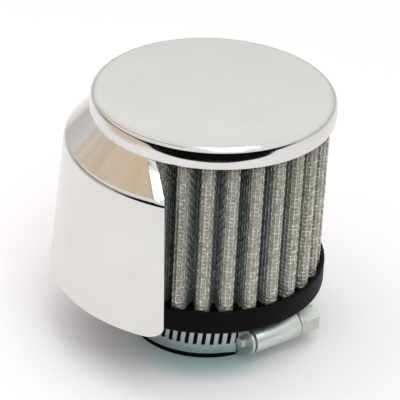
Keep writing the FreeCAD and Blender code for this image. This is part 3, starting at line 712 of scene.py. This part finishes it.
def head_half(side):
    """Half of the hexagon head on one side of the driver slot, as rings from the collar to the crowned end:
    the hexagon's own corners, cut straight at the middle below the slot and at the slot's side above it."""
    corner = np.radians([-90, -30, 30, 90])
    reach = HEAD_FLATS / math.sqrt(3)
    hexagon = np.column_stack([np.sin(corner), np.cos(corner)]) * reach
    floor_at, half_slot = HEAD_LENGTH - DRIVER_DEPTH, DRIVER_WIDTH / 2
    rings = []
    for at, scale, cut in ((0, 1.0, 0.0), (floor_at, 1.0, 0.0), (floor_at, 1.0, half_slot),
                           (HEAD_LENGTH - HEAD_EDGE, 1.0, half_slot), (HEAD_LENGTH, HEAD_CROWN, half_slot)):
        outline = hexagon * scale
        outline[[0, 3], 1] = cut
        outline[[0, 3], 0] = np.array([-1, 1]) * (reach * scale - cut / math.sqrt(3))
        rings.append(np.column_stack([np.full(4, collar_end + at), -SCREW_DISTANCE + side * outline[:, 1],
                                      BAND_MIDDLE + outline[:, 0]]))
    points = np.concatenate(rings)
    faces = grid_quads(5, 4, False, True)
    return points, np.concatenate([faces, [[0, 1, 2, 3], [16, 17, 18, 19]]])


near, near_quads = head_half(1)
far, far_quads = head_half(-1)
head = add_piece("clamp_screw_head", clamp_place(np.concatenate([near, far])),
                 np.concatenate([near_quads, far_quads + len(near)]), zinc, "screw", "clamp_screw_zinc",
                 sharp=20)
worn = head.modifiers.new("worn_edges", "BEVEL")
worn.width = 0.18 * MM
worn.segments = 2
worn.limit_method = "ANGLE"
worn.angle_limit = math.radians(25)

# Stage: a pale paper floor, a soft white room and three soft lights, laid out from the camera's side. The
# paper ends a little way in front, so the chrome reflects the dark of the room past its edge.
AZIMUTH = math.radians(-19)
toward_camera = np.array([math.sin(AZIMUTH), -math.cos(AZIMUTH), 0])
leftward = np.array([-math.cos(AZIMUTH), -math.sin(AZIMUTH), 0])
upward = np.array([0, 0, 1])
FLOOR_SIDE_M, FLOOR_BACK_M, FLOOR_FRONT_M = 0.7, 0.7, 0.19
corners = [side * FLOOR_SIDE_M * leftward + ahead * toward_camera
           for side, ahead in ((1, FLOOR_FRONT_M), (-1, FLOOR_FRONT_M),
                               (-1, -FLOOR_BACK_M), (1, -FLOOR_BACK_M))]
floor_mesh = bpy.data.meshes.new("floor")
floor_mesh.from_pydata([tuple(corner) for corner in corners], [], [(3, 2, 1, 0)])

# White paper: it glows a little to the camera, is warmer far out to the left, where only reflections see it,
# and has a painted shadow, darker and cool, on the paper before the neck.
WARM_START_M, WARM_FULL_M = 0.18, 0.26
WARM_RETREAT = 0.6
TINT_AT = 0.012 * toward_camera
TINT_FULL_M, TINT_END_M = 0.015, 0.026
PAPER_GLOW = 0.09
paper, tree, shader, place = finish_of("white_paper", Roughness=0.9, Specular_IOR_Level=0.1)
in_camera = node(tree, "ShaderNodeLightPath").outputs["Is Camera Ray"]
sideways = node(tree, "ShaderNodeVectorMath", {0: place, 1: tuple(leftward)}, operation="DOT_PRODUCT")
forward = node(tree, "ShaderNodeVectorMath", {0: place, 1: tuple(WARM_RETREAT * toward_camera)},
               operation="DOT_PRODUCT")
retreat = node(tree, "ShaderNodeMath", {0: forward.outputs["Value"], 1: 0.0}, operation="MINIMUM")
far_left = node(tree, "ShaderNodeMath", {0: sideways.outputs["Value"], 1: retreat.outputs[0]}, operation="ADD")
warmth = node(tree, "ShaderNodeMapRange",
              {"Value": far_left.outputs[0], "From Min": WARM_START_M, "From Max": WARM_FULL_M})
reflected = node(tree, "ShaderNodeMath", {0: warmth.outputs["Result"], 1: in_camera}, operation="SUBTRACT",
                 use_clamp=True)
sheet = ramp(tree, reflected.outputs[0], colour("#c7c3c4"), colour("#b3a18c"))
# Painted shadow: a darker teal patch on the paper just before the neck.
from_tint = node(tree, "ShaderNodeVectorMath", {0: place, 1: tuple(TINT_AT)}, operation="DISTANCE")
in_painted_shadow = node(tree, "ShaderNodeMapRange",
               {"Value": from_tint.outputs["Value"], "From Min": TINT_END_M, "From Max": TINT_FULL_M},
               interpolation_type="SMOOTHSTEP")
tinted = node(tree, "ShaderNodeMix", {"Factor": in_painted_shadow.outputs["Result"], "A": sheet, "B": colour("#96b3b2")},
              data_type="RGBA")
tree.links.new(tinted.outputs["Result"], shader.inputs["Base Color"])
glow = node(tree, "ShaderNodeMath", {0: in_camera, 1: PAPER_GLOW}, operation="MULTIPLY")
shader.inputs["Emission Color"].default_value = (1, 1, 1, 1)
tree.links.new(glow.outputs[0], shader.inputs["Emission Strength"])
floor_mesh.materials.append(paper)
floor = bpy.data.objects.new("floor", floor_mesh)
bpy.context.scene.collection.objects.link(floor)

# Room: pale behind and overhead, dark low down in front, brownish low on the left, with a beige curtain up on
# the left that the shield's shoulder reflects. The camera itself sees plain white.
world = bpy.data.worlds.new("soft_room")
bpy.context.scene.world = world
world.use_nodes = True
tree = world.node_tree
background = tree.nodes["Background"]
direction = node(tree, "ShaderNodeTexCoord").outputs["Generated"]
rise = node(tree, "ShaderNodeSeparateXYZ", {"Vector": direction}).outputs["Z"]
half_rise = node(tree, "ShaderNodeMapRange", {"Value": rise, "From Min": -1.0, "From Max": 1.0})


def room_side(tones):
    """The room's tone from floor to ceiling on one side, from pairs of a direction's height and a colour."""
    side = node(tree, "ShaderNodeValToRGB", {"Fac": half_rise.outputs["Result"]})
    stops = side.color_ramp.elements
    stops[0].position, stops[0].color = (tones[0][0] + 1) / 2, colour(tones[0][1])
    stops[1].position, stops[1].color = (tones[-1][0] + 1) / 2, colour(tones[-1][1])
    for level, tone in tones[1:-1]:
        stops.new((level + 1) / 2).color = colour(tone)
    return side.outputs["Color"]


def pointing(way, low, high):
    """How far a direction points one way: 0 at the low value of their dot product, 1 at the high one."""
    dot = node(tree, "ShaderNodeVectorMath", {0: direction, 1: tuple(way)}, operation="DOT_PRODUCT")
    return node(tree, "ShaderNodeMapRange",
                {"Value": dot.outputs["Value"], "From Min": low, "From Max": high},
                interpolation_type="SMOOTHSTEP").outputs["Result"]


behind = room_side([(-0.05, "#cecbc9"), (0.1, "#d4d1cf"), (0.5, "#fafaf7"), (1.0, "#f4f4f2")])
in_front = room_side([(-0.05, "#0e0d0d"), (0.16, "#171513"), (0.26, "#f8fafb"), (0.6, "#f4f6f6"),
                      (1.0, "#f6f7f7")])
beside = room_side([(-0.05, "#d2cfcc"), (0.0, "#80736a"), (0.1, "#85776c"), (0.2, "#ecebe8"),
                    (1.0, "#f4f4f2")])
curtain_fold = room_side([(0.1, "#cfc4b9"), (0.45, "#d5c2ac"), (0.75, "#c6ac8c")])
curtain_face = room_side([(0.1, "#e8ded4"), (0.45, "#ecdcca"), (0.75, "#e0c9ab")])
folds = node(tree, "ShaderNodeMapping",
             {"Vector": direction, "Rotation": (0.5, 0.9, 0.4), "Scale": (12, 3, 3)})
hang = node(tree, "ShaderNodeTexNoise", {"Vector": folds.outputs["Vector"], "Scale": 1.0, "Detail": 2.0})
lit_fold = node(tree, "ShaderNodeMapRange",
                {"Value": hang.outputs["Fac"], "From Min": 0.35, "From Max": 0.65}).outputs["Result"]
curtain = node(tree, "ShaderNodeMix", {"Factor": lit_fold, "A": curtain_fold, "B": curtain_face},
               data_type="RGBA")
room = node(tree, "ShaderNodeMix", {"Factor": pointing(toward_camera, 0.0, 0.55), "A": behind, "B": in_front},
            data_type="RGBA")
HIGH_LEFT = 0.8 * leftward + 0.6 * upward
sided = node(tree, "ShaderNodeMix",
             {"Factor": pointing(HIGH_LEFT, 0.7, 0.77), "A": room.outputs["Result"], "B": beside},
             data_type="RGBA")

# The curtain hangs in a band of directions round its own axis, to the left and not behind.
CURTAIN_AXIS = -0.5 * toward_camera - 0.153 * leftward + 0.852 * upward
above = pointing(CURTAIN_AXIS, 0.27, 0.31)
below = pointing(-CURTAIN_AXIS, -0.53, -0.49)
to_left = pointing(leftward, 0.25, 0.33)
not_behind = pointing(toward_camera, -0.68, -0.5)
band = node(tree, "ShaderNodeMath", {0: above, 1: below}, operation="MULTIPLY").outputs[0]
span = node(tree, "ShaderNodeMath", {0: to_left, 1: not_behind}, operation="MULTIPLY").outputs[0]
hung = node(tree, "ShaderNodeMath", {0: band, 1: span}, operation="MULTIPLY").outputs[0]
curtained = node(tree, "ShaderNodeMix",
                 {"Factor": hung, "A": sided.outputs["Result"], "B": curtain.outputs["Result"]},
                 data_type="RGBA")
in_camera = node(tree, "ShaderNodeLightPath").outputs["Is Camera Ray"]
surround = node(tree, "ShaderNodeMix",
                {"Factor": in_camera, "A": curtained.outputs["Result"], "B": (1, 1, 1, 1)},
                data_type="RGBA")
tree.links.new(surround.outputs["Result"], background.inputs["Color"])


def add_light(name, place, target, size, power, tone="#ffffff"):
    """A square soft light at a place, facing a target, in metres and watts."""
    lamp = bpy.data.lights.new(name, "AREA")
    lamp.shape = "SQUARE"
    lamp.size = size
    lamp.energy = power
    lamp.color = colour(tone)[:3]
    holder = bpy.data.objects.new(name, lamp)
    bpy.context.scene.collection.objects.link(holder)
    holder.location = tuple(place)
    toward = np.subtract(target, place)
    holder.rotation_euler = (math.acos(-toward[2] / np.linalg.norm(toward)), 0,
                             math.atan2(toward[1], toward[0]) - math.pi / 2)
    return holder


# A broad light overhead that the chrome doesn't show, a small one that its rolled edges do show, and a cool
# one from the front.
overhead = add_light("soft_top", 0.18 * leftward + 0.9 * upward, (0, 0, 0.04), 1.2, 8.0)
overhead.visible_glossy = False
add_light("soft_edge", 0.3 * toward_camera - 0.18 * leftward + 0.9 * upward, (0, 0, 0.07), 0.5, 1.8)
add_light("soft_front", 0.63 * toward_camera - 0.2 * leftward + 0.79 * upward, (0, 0, 0.05), 0.4, 2.6,
          "#c8e4e8")

# The camera: fitted to the photograph's outlines, a long lens about 30 degrees above the horizon.
ELEVATION = math.radians(29.95)
ROLL = math.radians(2.85)
DISTANCE_MM, ACROSS_MM, UP_MM = 711.1, -2.65, 38.08
LENS_MM, SENSOR_MM = 198, 36
right = np.array([math.cos(AZIMUTH), math.sin(AZIMUTH), 0])
back = np.array([math.sin(AZIMUTH) * math.cos(ELEVATION), -math.cos(AZIMUTH) * math.cos(ELEVATION),
                 math.sin(ELEVATION)])
up = np.cross(back, right)
lens = bpy.data.cameras.new("camera")
lens.lens = LENS_MM
lens.sensor_width = SENSOR_MM
lens.clip_end = 10
camera = bpy.data.objects.new("camera", lens)
bpy.context.scene.collection.objects.link(camera)
pose = np.eye(4)
pose[:3, 0] = math.cos(ROLL) * right + math.sin(ROLL) * up
pose[:3, 1] = -math.sin(ROLL) * right + math.cos(ROLL) * up
pose[:3, 2] = back
pose[:3, 3] = (ACROSS_MM * right + UP_MM * up + DISTANCE_MM * back) * MM
camera.matrix_world = Matrix(pose.tolist())
bpy.context.scene.camera = camera
bpy.context.scene.view_settings.view_transform = "Standard"
